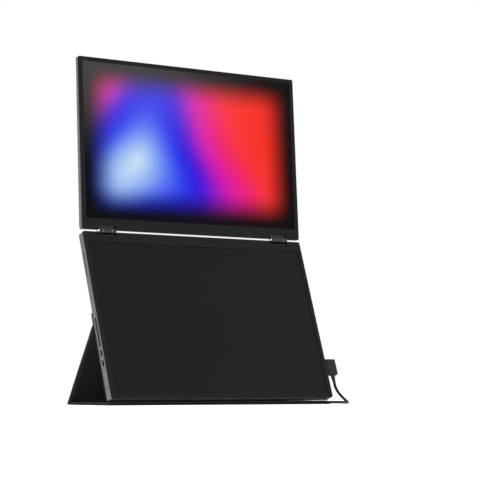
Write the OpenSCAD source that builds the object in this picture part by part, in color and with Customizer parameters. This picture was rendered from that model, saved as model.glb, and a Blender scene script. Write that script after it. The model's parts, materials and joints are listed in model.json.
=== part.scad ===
// Stacked screen extender: two equal screen cases joined by friction hinges,
// standing on a three-board folding stand. Millimetres, +Z up, the user sits at -Y.
// The origin lies on the underside of the base board, between the side edges.

/* [Cases] */
// Depth of the lower rear shell
lower_t = 11.1; // [9.8:0.1:13]
// Depth of the upper rear shell at its free edge
upper_t_top = 6; // [4.6:0.1:7]
// Depth of the upper rear shell at the hinges
upper_t_hinge = 8.1; // [7:0.1:9.5]
// Depth of the front frames
bezel_t = 1.6; // [1.5:0.1:2.2]
// Wall of the rear shells
wall = 1.2; // [1:0.1:1.5]
// Corner radius of the cases, seen from the front
corner_r = 3; // [2:0.5:5]
// Fillet of the rear edges
edge_r = 1.2; // [1:0.1:2]
// Fillet of the front frame's outer edge
front_r = 0.7; // [0.4:0.1:1]
// Fillet of the rear edge beside the hinges
crest_r = 4; // [3:0.5:4.5]
// Height of the end cover of the lower case
end_h = 17; // [14:0.5:22]
// Width of the seam above the end cover
seam = 0.3; // [0.2:0.1:0.6]

/* [Picture] */
// Width of the visible picture
view_w = 344.8; // [300:0.2:390]
// Height of the visible picture
view_h = 216; // [190:0.2:240]
// Width of the frame at the two sides
side_frame = 6.6; // [6:0.1:9]
// Width of the frame at the free edge
end_frame = 5.9; // [5.6:0.1:9]
// Width of the frame beside the hinges
chin = 15.5; // [15:0.5:20]
// Frame material left over the panel's edge
lip_t = 0.8; // [0.6:0.1:1]
// Overlap of the panel behind the frame
lap = 1.5; // [1:0.1:2]
// Thickness of the panel glass
glass_t = 1.2; // [1:0.1:1.4]
// Thickness of the light guide
light_t = 1.8; // [1.4:0.1:2]

/* [Hinges] */
// Distance of each hinge's middle from the side of the case
hinge_edge = 37.3; // [24:0.1:60]
// Width of a hinge
hinge_w = 26; // [22:1:30]
// Radius of a knuckle
knuckle_r = 4; // [3.5:0.1:4.5]
// Radius of the hinge pin
pin_r = 1.5; // [1.2:0.1:1.8]
// Running clearance of the pin in the turning knuckle
pin_fit = 0.05; // [0.02:0.01:0.08]
// Width of the middle knuckle
mid_knuckle_w = 12; // [9:0.5:14]
// Gap between neighbouring knuckles
knuckle_gap = 1.2; // [1:0.1:1.6]
// Thickness of a disc spring
disc_t = 0.3; // [0.2:0.05:0.35]
// Thickness of the hinge leaves
leaf_t = 1.2; // [1:0.1:1.5]
// Reach of a leaf into its case
leaf_h = 12.5; // [11:0.5:13]
// Gap between the two cases when they are in line
hinge_gap = 2.6; // [2:0.2:4]
// Gap between the two fronts when they are closed
face_gap = 0.8; // [0.6:0.1:1.4]
// Height of the hinge notch in a frame
notch_h = 6; // [5:0.5:7.5]
// Clearance around a hinge in its notch
notch_fit = 1.2; // [0.8:0.1:1.6]
// Radius of the case and hinge screws
screw_r = 0.8; // [0.6:0.1:1]
// Radius of the screw heads
head_r = 1.7; // [1.4:0.1:2]
// Height of the screw heads
head_t = 0.6; // [0.4:0.1:0.7]

/* [Sockets and buttons] */
// Distance of the sockets and buttons from the rear face
port_y = 6.2; // [5.6:0.1:7]
// Height of the upper left socket above the lower case's bottom
port_top_z = 64.9; // [60:0.1:68]
// Height of the lower left socket
port_low_z = 50.6; // [44:0.1:52]
// Height of the right socket
port_right_z = 49.4; // [46:0.2:70]
// Length of a socket's mouth
port_l = 9; // [8.6:0.1:9.4]
// Height of a socket's mouth
port_h = 3.2; // [3:0.1:3.4]
// Depth of a socket
port_d = 7.4; // [7:0.1:9]
// Wall of a socket's sleeve
sleeve_t = 0.3; // [0.2:0.05:0.4]
// Middle of the button slot above the lower case's bottom
slot_z = 93.5; // [91:0.5:110]
// Length of a button
button_l = 12.4; // [11:0.2:13]
// Height of a button
button_h = 1.8; // [1.6:0.1:2.2]
// Gap between neighbouring buttons
button_gap = 0.8; // [0.6:0.1:1.2]
// Clearance of the buttons in their slot
button_fit = 0.2; // [0.15:0.05:0.3]
// Travel of a button
button_travel = 0.4; // [0.3:0.05:0.5]
// Number of speaker holes on a side
hole_n = 10; // [6:1:12]
// Pitch of the speaker holes
hole_pitch = 3.8; // [3.4:0.1:4.2]
// Radius of a speaker hole
hole_r = 0.85; // [0.6:0.05:1]
// Distance of the speaker holes from the rear face
hole_y = 4; // [3.4:0.1:5]
// Distance of the topmost speaker hole from the hinge edge
hole_drop = 28.1; // [24:0.1:36]

/* [Stand] */
// Backward lean of the lower case
lower_tilt = 19.8; // [12:0.2:24]
// Backward lean of the upper case
upper_tilt = 3.7; // [0:0.1:10]
// Lean of the leg board
leg_tilt = 33.2; // [28:0.2:38]
// Thickness of the back board
back_t = 3; // [2.2:0.1:3.5]
// Height of the leg's fold above the lower case's bottom
fold_h = 105.6; // [100:0.2:110]
// Height of the back board above that fold
back_over = 18.6; // [12:0.2:24]
// Thickness of the leg board
leg_t = 3; // [2.6:0.1:4]
// Thickness of the base board
base_t = 3.2; // [3:0.1:5.4]
// Distance of the base board's front edge from the origin
base_front = 56; // [50:0.1:70]
// Distance of the lower case's rear corner behind that edge
case_setback = 6; // [4:0.1:12]
// Thickness of the covering leather
skin_t = 0.6; // [0.5:0.1:0.9]
// Set-back of the leg board from its two folds
leg_gap = 2.8; // [2.8:0.1:4]
// Set-back of the base board from its fold
base_gap = 8.5; // [8:0.5:10]
// Corner radius of the boards
board_r = 1.5; // [1:0.5:3]
// Thickness of the anti-slip strip
grip_t = 1.8; // [0.5:0.1:2.4]
// Width of the anti-slip strip
grip_w = 8; // [6:0.5:10]
// Air under the lower case's bottom corner
rest_gap = 0.2; // [0.1:0.1:0.5]
// Radius of a magnet
magnet_r = 5; // [4:0.5:6]
// Thickness of a magnet
magnet_t = 1.2; // [1:0.1:1.4]

/* [Cable] */
// Diameter of the cable
cable_d = 4; // [3.6:0.2:4.4]
// Length of the right-angle plug along the case
plug_l = 23.4; // [21:0.1:26]
// Reach of the plug beside the case
plug_w = 19.7; // [18:0.1:22]
// Thickness of the plug
plug_t = 7; // [6.4:0.2:8]
// Distance of the cable from the side of the case
plug_exit = 12.4; // [11:0.2:15]
// Length of the strain relief
relief_l = 8; // [7:0.5:10]
// Middle diameter of the coil
coil_d = 44; // [40:2:48]

/* [Hidden] */
$fn = 48;
slack = 1;
case_w = view_w + 2 * side_frame;
case_h = view_h + chin + end_frame;
lower_d = lower_t + bezel_t;
upper_d = bezel_t + upper_t_hinge;
lower_y = case_setback - base_front;
lower_z = base_t + grip_t + rest_gap;
panel_w = view_w + 2 * lap;
panel_h = view_h + 2 * lap;
// the slope of the upper case's rear face
wedge = atan((upper_t_hinge - upper_t_top) / case_h);
side_x = case_w / 2;
hinge_x = side_x - hinge_edge;
hole_top_z = case_h - hole_drop;
cavity_w = case_w - 2 * wall;
axis_y = face_gap / 2;
axis_z = hinge_gap / 2;
leaf_y = knuckle_r - leaf_t;
neck_z = knuckle_r + 0.6;
end_knuckle_w = (hinge_w - mid_knuckle_w) / 2 - knuckle_gap;
leaf_screw_x = hinge_w / 2 - head_r - 1.2;
leaf_screw_z = (neck_z + axis_z + leaf_h) / 2;
slot_l = 3 * button_l + 2 * button_gap + 2 * button_fit;
slot_h = button_h + 2 * button_fit;
button_pitch = button_l + button_gap;
flange = 0.6;
board_t = 1;
board_y = port_y - port_h / 2 - board_t;
switch_d = 2;
clip_t = 0.4;
chip_t = 1.1;
board_gap = 0.6;
film_t = 0.3;
film_w = 14;
main_w = 150;
main_h = 100;
main_z = 30;
main_post = 15;
post_r = 2.4;
port_strip = 14;
driver_w = 200;
driver_h = 11;
driver_z = 2.5;
driver_y = 4.8;
driver_chip = 12;
speaker_w = 15;
speaker_t = 5.4;
speaker_wall = 1;
switch_l = 4;
switch_w = 3;
tongue_w = 16;
tongue_t = 1;
tongue_lap = 6;
magnet_edge = 29;
magnet_pitch = 90;
magnet_end = 14;
core_edge = 4;
back_lift = 1;
back_h = fold_h + back_over - back_lift;
grip_edge = 6;
grip_front = 1.5;
fold_lap = 5;
fold_fit = 0.06;
plug_gap = 0.2;
plug_x = side_x + plug_gap;
plug_tip_l = 6.4;
plug_tip_w = 8.3;
plug_tip_h = 2.4;
plug_tip_wall = 0.4;
plug_over = 9;
far_relief_l = 7;
far_grip_l = 18;
far_grip_w = 11;
far_grip_t = 6.2;
plug_z = port_right_z + plug_over - plug_l;
bumper_r = 2.2;
rib_reach = port_y;
notch_d = knuckle_r - axis_y + notch_fit;
switch_x = wall + flange + button_travel + 0.25;

// A point of a case that leans back by a, turned into the standing frame
function lean(y, z, a) = [y * cos(a) + z * sin(a), z * cos(a) - y * sin(a)];
hinge_at = lean(-lower_d - axis_y, case_h + axis_z, lower_tilt);
hinge_y = lower_y + hinge_at[0];
hinge_z = lower_z + hinge_at[1];
fold_at = lean(back_t, fold_h, lower_tilt);
fold_y = lower_y + fold_at[0];
fold_z = lower_z + fold_at[1];
// the leg reaches from its fold down to the table
leg_l = (fold_z + leg_t * sin(leg_tilt)) / cos(leg_tilt);
foot_y = fold_y + leg_t * cos(leg_tilt) + leg_l * sin(leg_tilt);
base_l = foot_y - base_gap + base_front;

// Cable: it leaves the plug downwards, bends to the right and runs back to its coil
coil_x = 212;
coil_y = 156;
coil_z = 0.6;
coil_w = 12;
coil_t = 8;
tie_w = 10;
cable_run_pts = [[191.4, -46.6, 33], [191.4, -48.6, 27.4], [191.6, -49.7, 24.3],
    [192.6, -51, 20.8], [194.2, -52, 17.5], [196.3, -52.8, 14.5], [198.9, -53.2, 11.7],
    [201.9, -53.2, 9.3], [205.1, -52.6, 7.1], [208.5, -51.3, 5.3], [212, -49.3, 3.9],
    [215.5, -46.5, 2.9], [218.8, -42.7, 2.2], [222, -38, 2], [228, -23.5, 2], [230, -8, 2],
    [230.6, 6, 2], [231.6, 20, 2], [232.7, 34, 2], [233.8, 48, 2], [234.9, 62, 2],
    [235.9, 76, 2], [236.7, 90, 2], [237.3, 104, 2], [237.7, 118, 2.1], [238, 131, 2.4],
    [238, 144, 2.6]];
cable_tail_pts = [[186, 156, 6.6], [186, 148, 6.2], [186.6, 140, 5], [187.4, 132, 4],
    [188, 124, 3.6]];
far_plug_at = [188, 124, 3.6];

// ---- frames of the leaning bodies ----
module in_lower() {
    translate([0, lower_y, lower_z]) rotate([-lower_tilt, 0, 0]) children();
}
module in_upper() {
    translate([0, hinge_y, hinge_z]) rotate([-upper_tilt, 0, 0])
        translate([0, axis_y, axis_z]) children();
}
module in_leg() {
    translate([0, fold_y, fold_z]) rotate([leg_tilt, 0, 0]) children();
}
// The lower case's own front face as the XZ plane, with +Y into the case
module from_front() {
    translate([0, -lower_d, 0]) children();
}
module both_sides() {
    children();
    mirror([1, 0, 0]) children();
}

// ---- shared forms ----
module along_x(w) {
    rotate([90, 0, 90]) translate([0, 0, -w / 2]) linear_extrude(w) children();
}
module corner_cut(r) {
    difference() {
        translate([-r, -slack]) square([r + slack, r + slack]);
        translate([-r, r]) circle(r);
    }
}
module round_rect(w, h, r) {
    translate([-w / 2 + r, 0]) square([w - 2 * r, h]);
    translate([-w / 2, r]) square([w, h - 2 * r]);
    for (x = [-w / 2 + r, w / 2 - r], z = [r, h - r])
        translate([x, z]) circle(r);
}
// A plate in the XZ plane from y = 0 to d, its y = 0 face with filleted edges
module soft_plate(w, h, d, rc, re) {
    intersection() {
        translate([0, d, 0]) rotate([90, 0, 0]) linear_extrude(d) round_rect(w, h, rc);
        along_x(w) difference() {
            square([d, h]);
            mirror([1, 0]) corner_cut(re);
            translate([0, h]) rotate(180) corner_cut(re);
        }
        linear_extrude(h) difference() {
            translate([-w / 2, 0]) square([w, d]);
            for (m = [0, 1]) mirror([m, 0]) translate([w / 2, 0]) corner_cut(re);
        }
    }
}
// A slot through a side wall: length along Z, height along Y
module side_slot(l, h, depth) {
    along_x(depth) {
        translate([-h / 2, -l / 2 + h / 2]) square([h, l - h]);
        for (z = [-1, 1]) translate([0, z * (l - h) / 2]) circle(h / 2);
    }
}
module post(r, y0, y1) {
    translate([0, y1, 0]) rotate([90, 0, 0]) cylinder(h = y1 - y0, r = r);
}

// ---- front frames, panels and light guides (from the front face, +Y inwards) ----
module front_frame(view_z, notch_z) {
    difference() {
        soft_plate(case_w, case_h, bezel_t, corner_r, front_r);
        translate([-view_w / 2, -slack, view_z]) cube([view_w, bezel_t + 2 * slack, view_h]);
        translate([-panel_w / 2, lip_t, view_z - lap]) cube([panel_w, bezel_t, panel_h]);
        for (s = [-1, 1])
            translate([s * hinge_x - hinge_w / 2 - notch_fit, -slack, notch_z])
                cube([hinge_w + 2 * notch_fit, bezel_t + 2 * slack, notch_h + slack]);
    }
}
module panel_plate(view_z, y, t) {
    translate([-panel_w / 2, y, view_z - lap]) cube([panel_w, t, panel_h]);
}

// ---- lower case ----
module lower_side(inset) {
    reach = inset > 0 ? slack : 0;
    difference() {
        translate([-lower_t - reach, inset])
            square([lower_t + reach - inset, case_h - 2 * inset]);
        translate([-inset, inset]) corner_cut(edge_r);
        translate([-inset, case_h - inset]) mirror([0, 1]) corner_cut(crest_r - inset);
    }
}
module lower_block() {
    intersection() {
        along_x(case_w) lower_side(0);
        rotate([90, 0, 0]) linear_extrude(lower_t) round_rect(case_w, case_h, corner_r);
        linear_extrude(case_h) difference() {
            translate([-side_x, -lower_t]) square([case_w, lower_t]);
            for (m = [0, 1]) mirror([m, 0]) translate([side_x, 0]) mirror([0, 1])
                corner_cut(edge_r);
        }
    }
}
module lower_side_cuts() {
    for (z = [port_top_z, port_low_z])
        translate([-side_x, -port_y, z]) side_slot(port_l, port_h, 4 * wall);
    translate([side_x, -port_y, port_right_z]) side_slot(port_l, port_h, 4 * wall);
    translate([-side_x, -port_y, slot_z]) side_slot(slot_l, slot_h, 4 * wall);
    for (s = [-1, 1], i = [0:hole_n - 1])
        translate([s * side_x, -hole_y, hole_top_z - i * hole_pitch])
            rotate([0, 90, 0]) cylinder(h = 4 * wall, r = hole_r, center = true);
}
module hinge_notches(depth) {
    for (s = [-1, 1])
        translate([s * hinge_x - hinge_w / 2 - notch_fit, -slack, -slack])
            cube([hinge_w + 2 * notch_fit, depth + slack, wall + 2 * slack]);
}
main_posts = [for (x = [-1, 1], z = [main_post - main_h, -main_post])
    [x * (main_w / 2 - main_post), main_z + main_h + z]];

module lower_rear_shell() {
    color("#8d8f92") in_lower() {
        difference() {
            lower_block();
            along_x(cavity_w) lower_side(wall);
            translate([-side_x - slack, -lower_t - slack, -slack])
                cube([case_w + 2 * slack, lower_t + 2 * slack, end_h + seam + slack]);
            lower_side_cuts();
            translate([0, -lower_d, case_h]) mirror([0, 0, 1]) hinge_notches(notch_d);
        }
        for (p = main_posts)
            translate([p[0], 0, p[1]]) post(post_r, -board_y, -wall / 2);
        both_sides() for (s = [-1, 1])
            translate([hinge_x + s * leaf_screw_x, 0, case_h + axis_z - leaf_screw_z])
                difference() {
                    post(head_r + 0.5, leaf_y - axis_y + leaf_t - lower_d, -wall / 2);
                    post(screw_r, -lower_d, -wall);
                }
    }
}
module lower_end_cover() {
    color("#97999c") in_lower() difference() {
        lower_block();
        difference() {
            along_x(cavity_w) lower_side(wall);
            translate([-side_x, -rib_reach, end_h - wall]) cube([case_w, rib_reach, wall]);
        }
        translate([-side_x - slack, -lower_t - slack, end_h])
            cube([case_w + 2 * slack, lower_t + 2 * slack, case_h]);
    }
    // tongues that carry the cover inside the shell
    color("#97999c") in_lower() for (k = [-1, -0.34, 0.34, 1])
        translate([k * (side_x - 3 * tongue_w) - tongue_w / 2, -wall - tongue_t, end_h - wall])
            cube([tongue_w, tongue_t, wall + seam + tongue_lap]);
}
module lower_bezel() {
    color("#1d1d1e") in_lower() from_front()
        front_frame(end_frame, case_h - notch_h);
}
module lower_screen() {
    color("#0b0b0d") in_lower() from_front() panel_plate(end_frame, lip_t, glass_t);
}
module lower_backlight() {
    color("#dfe3e6") in_lower() from_front() panel_plate(end_frame, lip_t + glass_t, light_t);
}
module main_board() {
    chip_y = -board_y - board_t - chip_t;
    strip_w = side_x - wall - board_gap - main_w / 2;
    color("#1f5a3a") in_lower() {
        difference() {
            translate([-main_w / 2, -board_y - board_t, main_z])
                cube([main_w, board_t, main_h]);
            for (p = main_posts) translate([p[0], 0, p[1]])
                post(screw_r, -board_y - board_t - slack, -board_y + slack);
        }
        // chips: across, up, width, height, as shares of the board's height
        for (c = [[-0.3, 0.3, 0.16, 0.16], [0.15, 0.55, 0.12, 0.12], [0.35, 0.2, 0.1, 0.14],
                [-0.45, 0.65, 0.09, 0.09]])
            translate([c[0] * main_h, chip_y, main_z + c[1] * main_h])
                cube([c[2] * main_h, chip_t, c[3] * main_h]);
        // strips that lead out to the sockets on both sides
        for (m = [0, 1]) mirror([m, 0, 0])
            translate([main_w / 2, -board_y - board_t, port_low_z - port_strip / 2])
                cube([strip_w, board_t, port_top_z - port_low_z + port_strip]);
    }
}
module usb_socket() {
    difference() {
        side_slot(port_l, port_h, port_d);
        translate([-sleeve_t, 0, 0])
            side_slot(port_l - 2 * sleeve_t, port_h - 2 * sleeve_t, port_d);
    }
    translate([-port_d / 2 + 1, -0.35, -3.3]) cube([port_d - 1.2, 0.7, 6.6]);
}
module usb_sockets() {
    color("#b9bbbd") in_lower() {
        for (z = [port_top_z, port_low_z])
            translate([-side_x + 0.3 + port_d / 2, -port_y, z]) usb_socket();
        translate([side_x - 0.3 - port_d / 2, -port_y, port_right_z])
            mirror([1, 0, 0]) usb_socket();
    }
}
module button_board() {
    back_x = -side_x + switch_x + switch_d;
    color("#2c2c30") in_lower() {
        translate([back_x, -port_y - switch_w / 2, slot_z - slot_l / 2])
            cube([board_gap, port_y + switch_w / 2 - wall, slot_l]);
        for (i = [-1:1]) translate([back_x - switch_d, -port_y - switch_w / 2,
                slot_z + i * button_pitch - switch_l / 2])
            cube([switch_d, switch_w, switch_l]);
    }
}
module speakers() {
    speaker_h = (hole_n - 1) * hole_pitch + 6;
    color("#202022") in_lower() both_sides()
        translate([side_x - wall - speaker_w, -wall - speaker_t, hole_top_z + 3 - speaker_h])
            difference() {
                cube([speaker_w, speaker_t, speaker_h]);
                translate([speaker_w - 2, speaker_wall, 1.5])
                    cube([2 + slack, speaker_t - 2 * speaker_wall, speaker_h - 3]);
            }
}
// A flat film cable: up from the board, along the case and out beside the left hinge
module display_cable() {
    film_y = -board_y - board_t - film_t;
    top_z = main_z + main_h;
    turn_z = (top_z + case_h) / 2;
    left_x = hinge_w / 2 + 5 - hinge_x;
    color("#c9a227") in_lower() {
        translate([-film_w, film_y, top_z - 6])
            cube([film_w, film_t, turn_z - top_z + 6 + film_w]);
        translate([left_x, film_y, turn_z]) cube([-left_x, film_t, film_w]);
        translate([left_x, film_y, turn_z]) cube([film_w, film_t, case_h - wall - turn_z]);
    }
}
module front_bumpers() {
    color("#141414") in_lower() from_front() both_sides()
        for (z = [end_frame / 2, case_h - 5])
            translate([side_x - (case_w - view_w) / 4, 0, z])
                post(bumper_r, -(face_gap - 0.15), 0);
}

// ---- hinges: origin on the axis, +Z into the upper case, +Y to the rear ----
module knuckle(x, w, bore) {
    translate([x, 0, 0]) rotate([0, 90, 0]) difference() {
        cylinder(h = w, r = knuckle_r);
        translate([0, 0, -slack]) cylinder(h = w + 2 * slack, r = bore);
    }
}
module leaf_plate() {
    difference() {
        translate([-hinge_w / 2, leaf_y, neck_z])
            cube([hinge_w, leaf_t, axis_z + leaf_h - neck_z]);
        for (s = [-1, 1]) translate([s * leaf_screw_x, 0, leaf_screw_z])
            post(screw_r, leaf_y - slack, knuckle_r + slack);
    }
}
// The part of a leaf between its knuckle and its plate, clear of the pin's bore
module leaf_neck(x, w) {
    translate([x, leaf_y, 0]) cube([w, leaf_t, neck_z]);
}
module upper_leaf() {
    knuckle(-mid_knuckle_w / 2, mid_knuckle_w, pin_r + pin_fit);
    leaf_neck(-mid_knuckle_w / 2, mid_knuckle_w);
    leaf_plate();
}
module lower_leaf() {
    for (x = [-hinge_w / 2, hinge_w / 2 - end_knuckle_w]) {
        knuckle(x, end_knuckle_w, pin_r);
        mirror([0, 0, 1]) leaf_neck(x, end_knuckle_w);
    }
    mirror([0, 0, 1]) leaf_plate();
}
module hinge_pin() {
    rotate([0, 90, 0]) {
        cylinder(h = hinge_w, r = pin_r, center = true);
        for (m = [0, 1]) mirror([0, 0, m]) translate([0, 0, hinge_w / 2])
            cylinder(h = 0.8, r1 = pin_r + 1, r2 = pin_r + 0.4);
    }
}
// A pair of disc springs, rim to rim: shallow cones around the pin
module disc_pair() {
    pair_w = knuckle_gap - 0.1;
    rise = pair_w / 2 - disc_t;
    for (m = [0, 1]) translate([m * pair_w, 0, 0]) mirror([m, 0, 0]) rotate([0, 90, 0])
        rotate_extrude() polygon([[pin_r + 0.1, 0], [knuckle_r - 0.5, rise],
            [knuckle_r - 0.5, rise + disc_t], [pin_r + 0.1, disc_t]]);
}
module leaf_screw() {
    post(screw_r, leaf_y, knuckle_r + 3);
    post(head_r, leaf_y - head_t, leaf_y);
}
module at_lower_hinges() {
    in_lower() translate([0, -lower_d - axis_y, case_h + axis_z])
        for (s = [-1, 1]) translate([s * hinge_x, 0, 0]) children();
}
module at_upper_hinges() {
    in_upper() translate([0, -axis_y, -axis_z])
        for (s = [-1, 1]) translate([s * hinge_x, 0, 0]) children();
}
module hinge_lower_leaves() { color("#3a3b3d") at_lower_hinges() lower_leaf(); }
module hinge_upper_leaves() { color("#3a3b3d") at_upper_hinges() upper_leaf(); }
module hinge_pins() { color("#b0b2b5") at_lower_hinges() hinge_pin(); }
module hinge_disc_springs() {
    color("#c2b280") at_lower_hinges() for (m = [0, 1]) mirror([m, 0, 0])
        translate([hinge_w / 2 - end_knuckle_w, 0, 0]) mirror([1, 0, 0]) disc_pair();
}
module hinge_lower_screws() {
    color("#b0b2b5") at_lower_hinges() for (s = [-1, 1])
        translate([s * leaf_screw_x, 0, -leaf_screw_z]) leaf_screw();
}
module hinge_upper_screws() {
    color("#b0b2b5") at_upper_hinges() for (s = [-1, 1])
        translate([s * leaf_screw_x, 0, leaf_screw_z]) leaf_screw();
}

// ---- upper case: a wedge, thicker at the hinges (from the front face, +Y inwards) ----
module upper_side(inset) {
    reach = inset > 0 ? slack : 0;
    difference() {
        polygon([[bezel_t - reach, inset], [upper_d - inset, inset],
            [upper_d - inset - (upper_t_hinge - upper_t_top), case_h - inset],
            [bezel_t - reach, case_h - inset]]);
        translate([upper_d - inset, inset]) corner_cut(crest_r - inset);
        translate([upper_d - inset - (upper_t_hinge - upper_t_top), case_h - inset])
            mirror([0, 1]) corner_cut(edge_r);
    }
}
module upper_block() {
    intersection() {
        along_x(case_w) upper_side(0);
        translate([0, upper_d, 0]) rotate([90, 0, 0]) linear_extrude(upper_t_hinge)
            round_rect(case_w, case_h, corner_r);
        translate([0, upper_d, -slack]) rotate([wedge, 0, 0])
            linear_extrude(case_h + 3 * slack) difference() {
                translate([-side_x, -2 * upper_d]) square([case_w, 2 * upper_d]);
                for (m = [0, 1]) mirror([m, 0]) translate([side_x, 0]) mirror([0, 1])
                    corner_cut(edge_r);
            }
    }
}
driver_posts = [for (k = [-0.45, -0.17, 0.17, 0.45]) [k * driver_w, driver_z + driver_h / 2]];
module upper_rear_shell() {
    post_end = upper_d - wall;
    color("#77797c") in_upper() {
        difference() {
            upper_block();
            along_x(cavity_w) upper_side(wall);
            hinge_notches(notch_d);
        }
        both_sides() for (s = [-1, 1])
            translate([hinge_x + s * leaf_screw_x, 0, leaf_screw_z - axis_z]) difference() {
                post(head_r + 0.5, knuckle_r - axis_y, post_end);
                post(screw_r, 0, post_end - 0.4);
            }
        for (p = driver_posts)
            translate([p[0], 0, p[1]]) post(2, driver_y + board_t, post_end);
    }
}
module upper_bezel() {
    color("#222223") in_upper() front_frame(chin, -slack);
}
module upper_screen() {
    color("#7a3ab8") in_upper() panel_plate(chin, lip_t, glass_t);
}
module upper_backlight() {
    color("#dfe3e6") in_upper() panel_plate(chin, lip_t + glass_t, light_t);
}
module driver_board() {
    color("#1f5a3a") in_upper() {
        difference() {
            translate([-driver_w / 2, driver_y, driver_z]) cube([driver_w, board_t, driver_h]);
            for (p = driver_posts) translate([p[0], 0, p[1]])
                post(screw_r, driver_y - slack, driver_y + board_t + slack);
        }
        for (k = [-0.3, 0.03, 0.28])
            translate([k * driver_w, driver_y - chip_t, driver_z + 1.5])
                cube([driver_chip, chip_t, driver_h - 3]);
    }
}

// ---- buttons ----
module side_button(i) {
    color("#19191a") in_lower()
        translate([-side_x, -port_y, slot_z + i * button_pitch]) {
            difference() {
                translate([wall / 2 + 0.1, 0, 0]) side_slot(button_l, button_h, wall);
                translate([0.1, 0, 0]) children();
            }
            translate([wall + 0.1 + flange / 2, 0, 0])
                side_slot(button_l + 0.5, button_h + 1.4, flange);
            translate([wall + 0.1 + flange, -0.7, -0.9]) cube([0.1, 1.4, 1.8]);
        }
}
module plus_button() { side_button(0) union() {
    cube([0.3, 0.3, 1.2], center = true);
    cube([0.3, 1.2, 0.3], center = true);
} }
module minus_button() { side_button(-1) cube([0.3, 0.3, 1.2], center = true); }
module power_button() { side_button(1) rotate([0, 90, 0])
    cylinder(h = 0.3, r = 0.45, center = true); }

// ---- stand ----
// A leather-covered board: x across, z upwards from 0, y from 0 to t, with a core inside
module board_cover(h, t) {
    difference() {
        soft_plate(case_w, h, t, board_r, skin_t);
        board_core(h, t);
    }
}
module board_core(h, t) {
    translate([core_edge - side_x, skin_t, core_edge])
        cube([case_w - 2 * core_edge, t - 2 * skin_t, h - 2 * core_edge]);
}
module place_back() { in_lower() translate([0, back_t, back_lift]) mirror([0, 1, 0]) children(); }
leg_board_h = leg_l - 2 * leg_gap;
module place_leg() {
    in_leg() translate([0, leg_t, -leg_l + leg_gap]) mirror([0, 1, 0]) children();
}
module place_base() {
    translate([0, -base_front, base_t]) rotate([-90, 0, 0]) children();
}
module stand_back_cover() { color("#161617") place_back() board_cover(back_h, back_t); }
module stand_back_board() { color("#6b5a45") place_back() board_core(back_h, back_t); }
module stand_leg_cover() { color("#18181a") place_leg() board_cover(leg_board_h, leg_t); }
module stand_leg_board() { color("#6b5a45") place_leg() board_core(leg_board_h, leg_t); }
module magnets() {
    for (m = [-1, 1], k = [0, 1])
        translate([m * (side_x - magnet_edge - k * magnet_pitch), skin_t, base_l - magnet_end])
            rotate([-90, 0, 0]) cylinder(h = magnet_t, r = magnet_r);
}
module stand_base_cover() {
    color("#1b1b1c") place_base() board_cover(base_l, base_t);
}
module stand_base_board() {
    color("#6b5a45") place_base() difference() {
        board_core(base_l, base_t);
        magnets();
    }
}
module stand_magnets() { color("#9a9c9f") place_base() magnets(); }
module stand_grip_strip() {
    color("#0f0f10") translate([grip_edge - side_x, grip_front - base_front, base_t])
        cube([case_w - 2 * grip_edge, grip_w, grip_t]);
}
// Soft folds of the covering, between the ends of the boards
module fold_skin_top() {
    low = lean(back_t + fold_fit, fold_h, lower_tilt);
    high = lean(back_t + fold_fit, fold_h + fold_lap, lower_tilt);
    outer = lean(leg_t, fold_fit - leg_gap, -leg_tilt);
    inner = lean(0, fold_fit - leg_gap, -leg_tilt);
    color("#141415") along_x(case_w - 2) polygon([[lower_y + low[0], lower_z + low[1]],
        [lower_y + high[0], lower_z + high[1]],
        [fold_y + outer[0], fold_z + outer[1]], [fold_y + inner[0], fold_z + inner[1]]]);
}
module fold_skin_foot() {
    end_z = leg_gap - fold_fit - leg_l;
    outer = lean(leg_t, end_z, -leg_tilt);
    inner = lean(leg_t - skin_t, end_z, -leg_tilt);
    base_y = foot_y - base_gap + fold_fit;
    color("#141415") along_x(case_w - 2) polygon([[base_y, 0], [foot_y, 0],
        [fold_y + outer[0], fold_z + outer[1]], [fold_y + inner[0], fold_z + inner[1]],
        [foot_y - 2 * skin_t, skin_t], [base_y, skin_t]]);
}

// ---- cable ----
function unit(v) = v / norm(v);
function tangent(p, i) = unit(p[min(i + 1, len(p) - 1)] - p[max(i - 1, 0)]);
// A normal that follows the route without twisting
function carried(p, i) = i == 0
    ? unit(cross(tangent(p, 0), [0.2, 1, 0.3]))
    : let (t = tangent(p, i), n = carried(p, i - 1)) unit(n - (n * t) * t);
module cable_tube(p) {
    sides = 8;
    last = len(p) - 1;
    points = [for (i = [0:last]) let (t = tangent(p, i), n = carried(p, i), b = cross(t, n))
        for (k = [0:sides - 1])
            p[i] + cable_d / 2 * (cos(360 * k / sides) * n + sin(360 * k / sides) * b)];
    walls = [for (i = [0:last - 1], k = [0:sides - 1]) let (m = (k + 1) % sides)
        [i * sides + k, (i + 1) * sides + k, (i + 1) * sides + m, i * sides + m]];
    caps = [[for (k = [0:sides - 1]) k], [for (k = [sides - 1:-1:0]) last * sides + k]];
    polyhedron(points, concat(walls, caps));
}
module usb_tip(l) {
    difference() {
        side_slot(plug_tip_w, plug_tip_h, l);
        translate([1, 0, 0])
            side_slot(plug_tip_w - 2 * plug_tip_wall, plug_tip_h - 2 * plug_tip_wall, l);
    }
}
module usb_plug() {
    color("#161617") in_lower() translate([plug_x, -port_y, plug_z]) {
        translate([plug_w / 2, -plug_t / 2, 0]) soft_plate(plug_w, plug_l, plug_t, 2, 1);
        translate([plug_gap - plug_tip_l / 2, 0, plug_l - plug_over])
            mirror([1, 0, 0]) usb_tip(plug_tip_l);
    }
}
module plug_relief() {
    color("#1a1a1b") in_lower()
        translate([side_x + plug_exit, -port_y, plug_z - relief_l])
            cylinder(h = relief_l, r1 = cable_d / 2 + 0.3, r2 = cable_d / 2 + 1.2);
}
module cable_run() { color("#101011") cable_tube(cable_run_pts); }
module cable_tail() { color("#101011") cable_tube(cable_tail_pts); }
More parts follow.
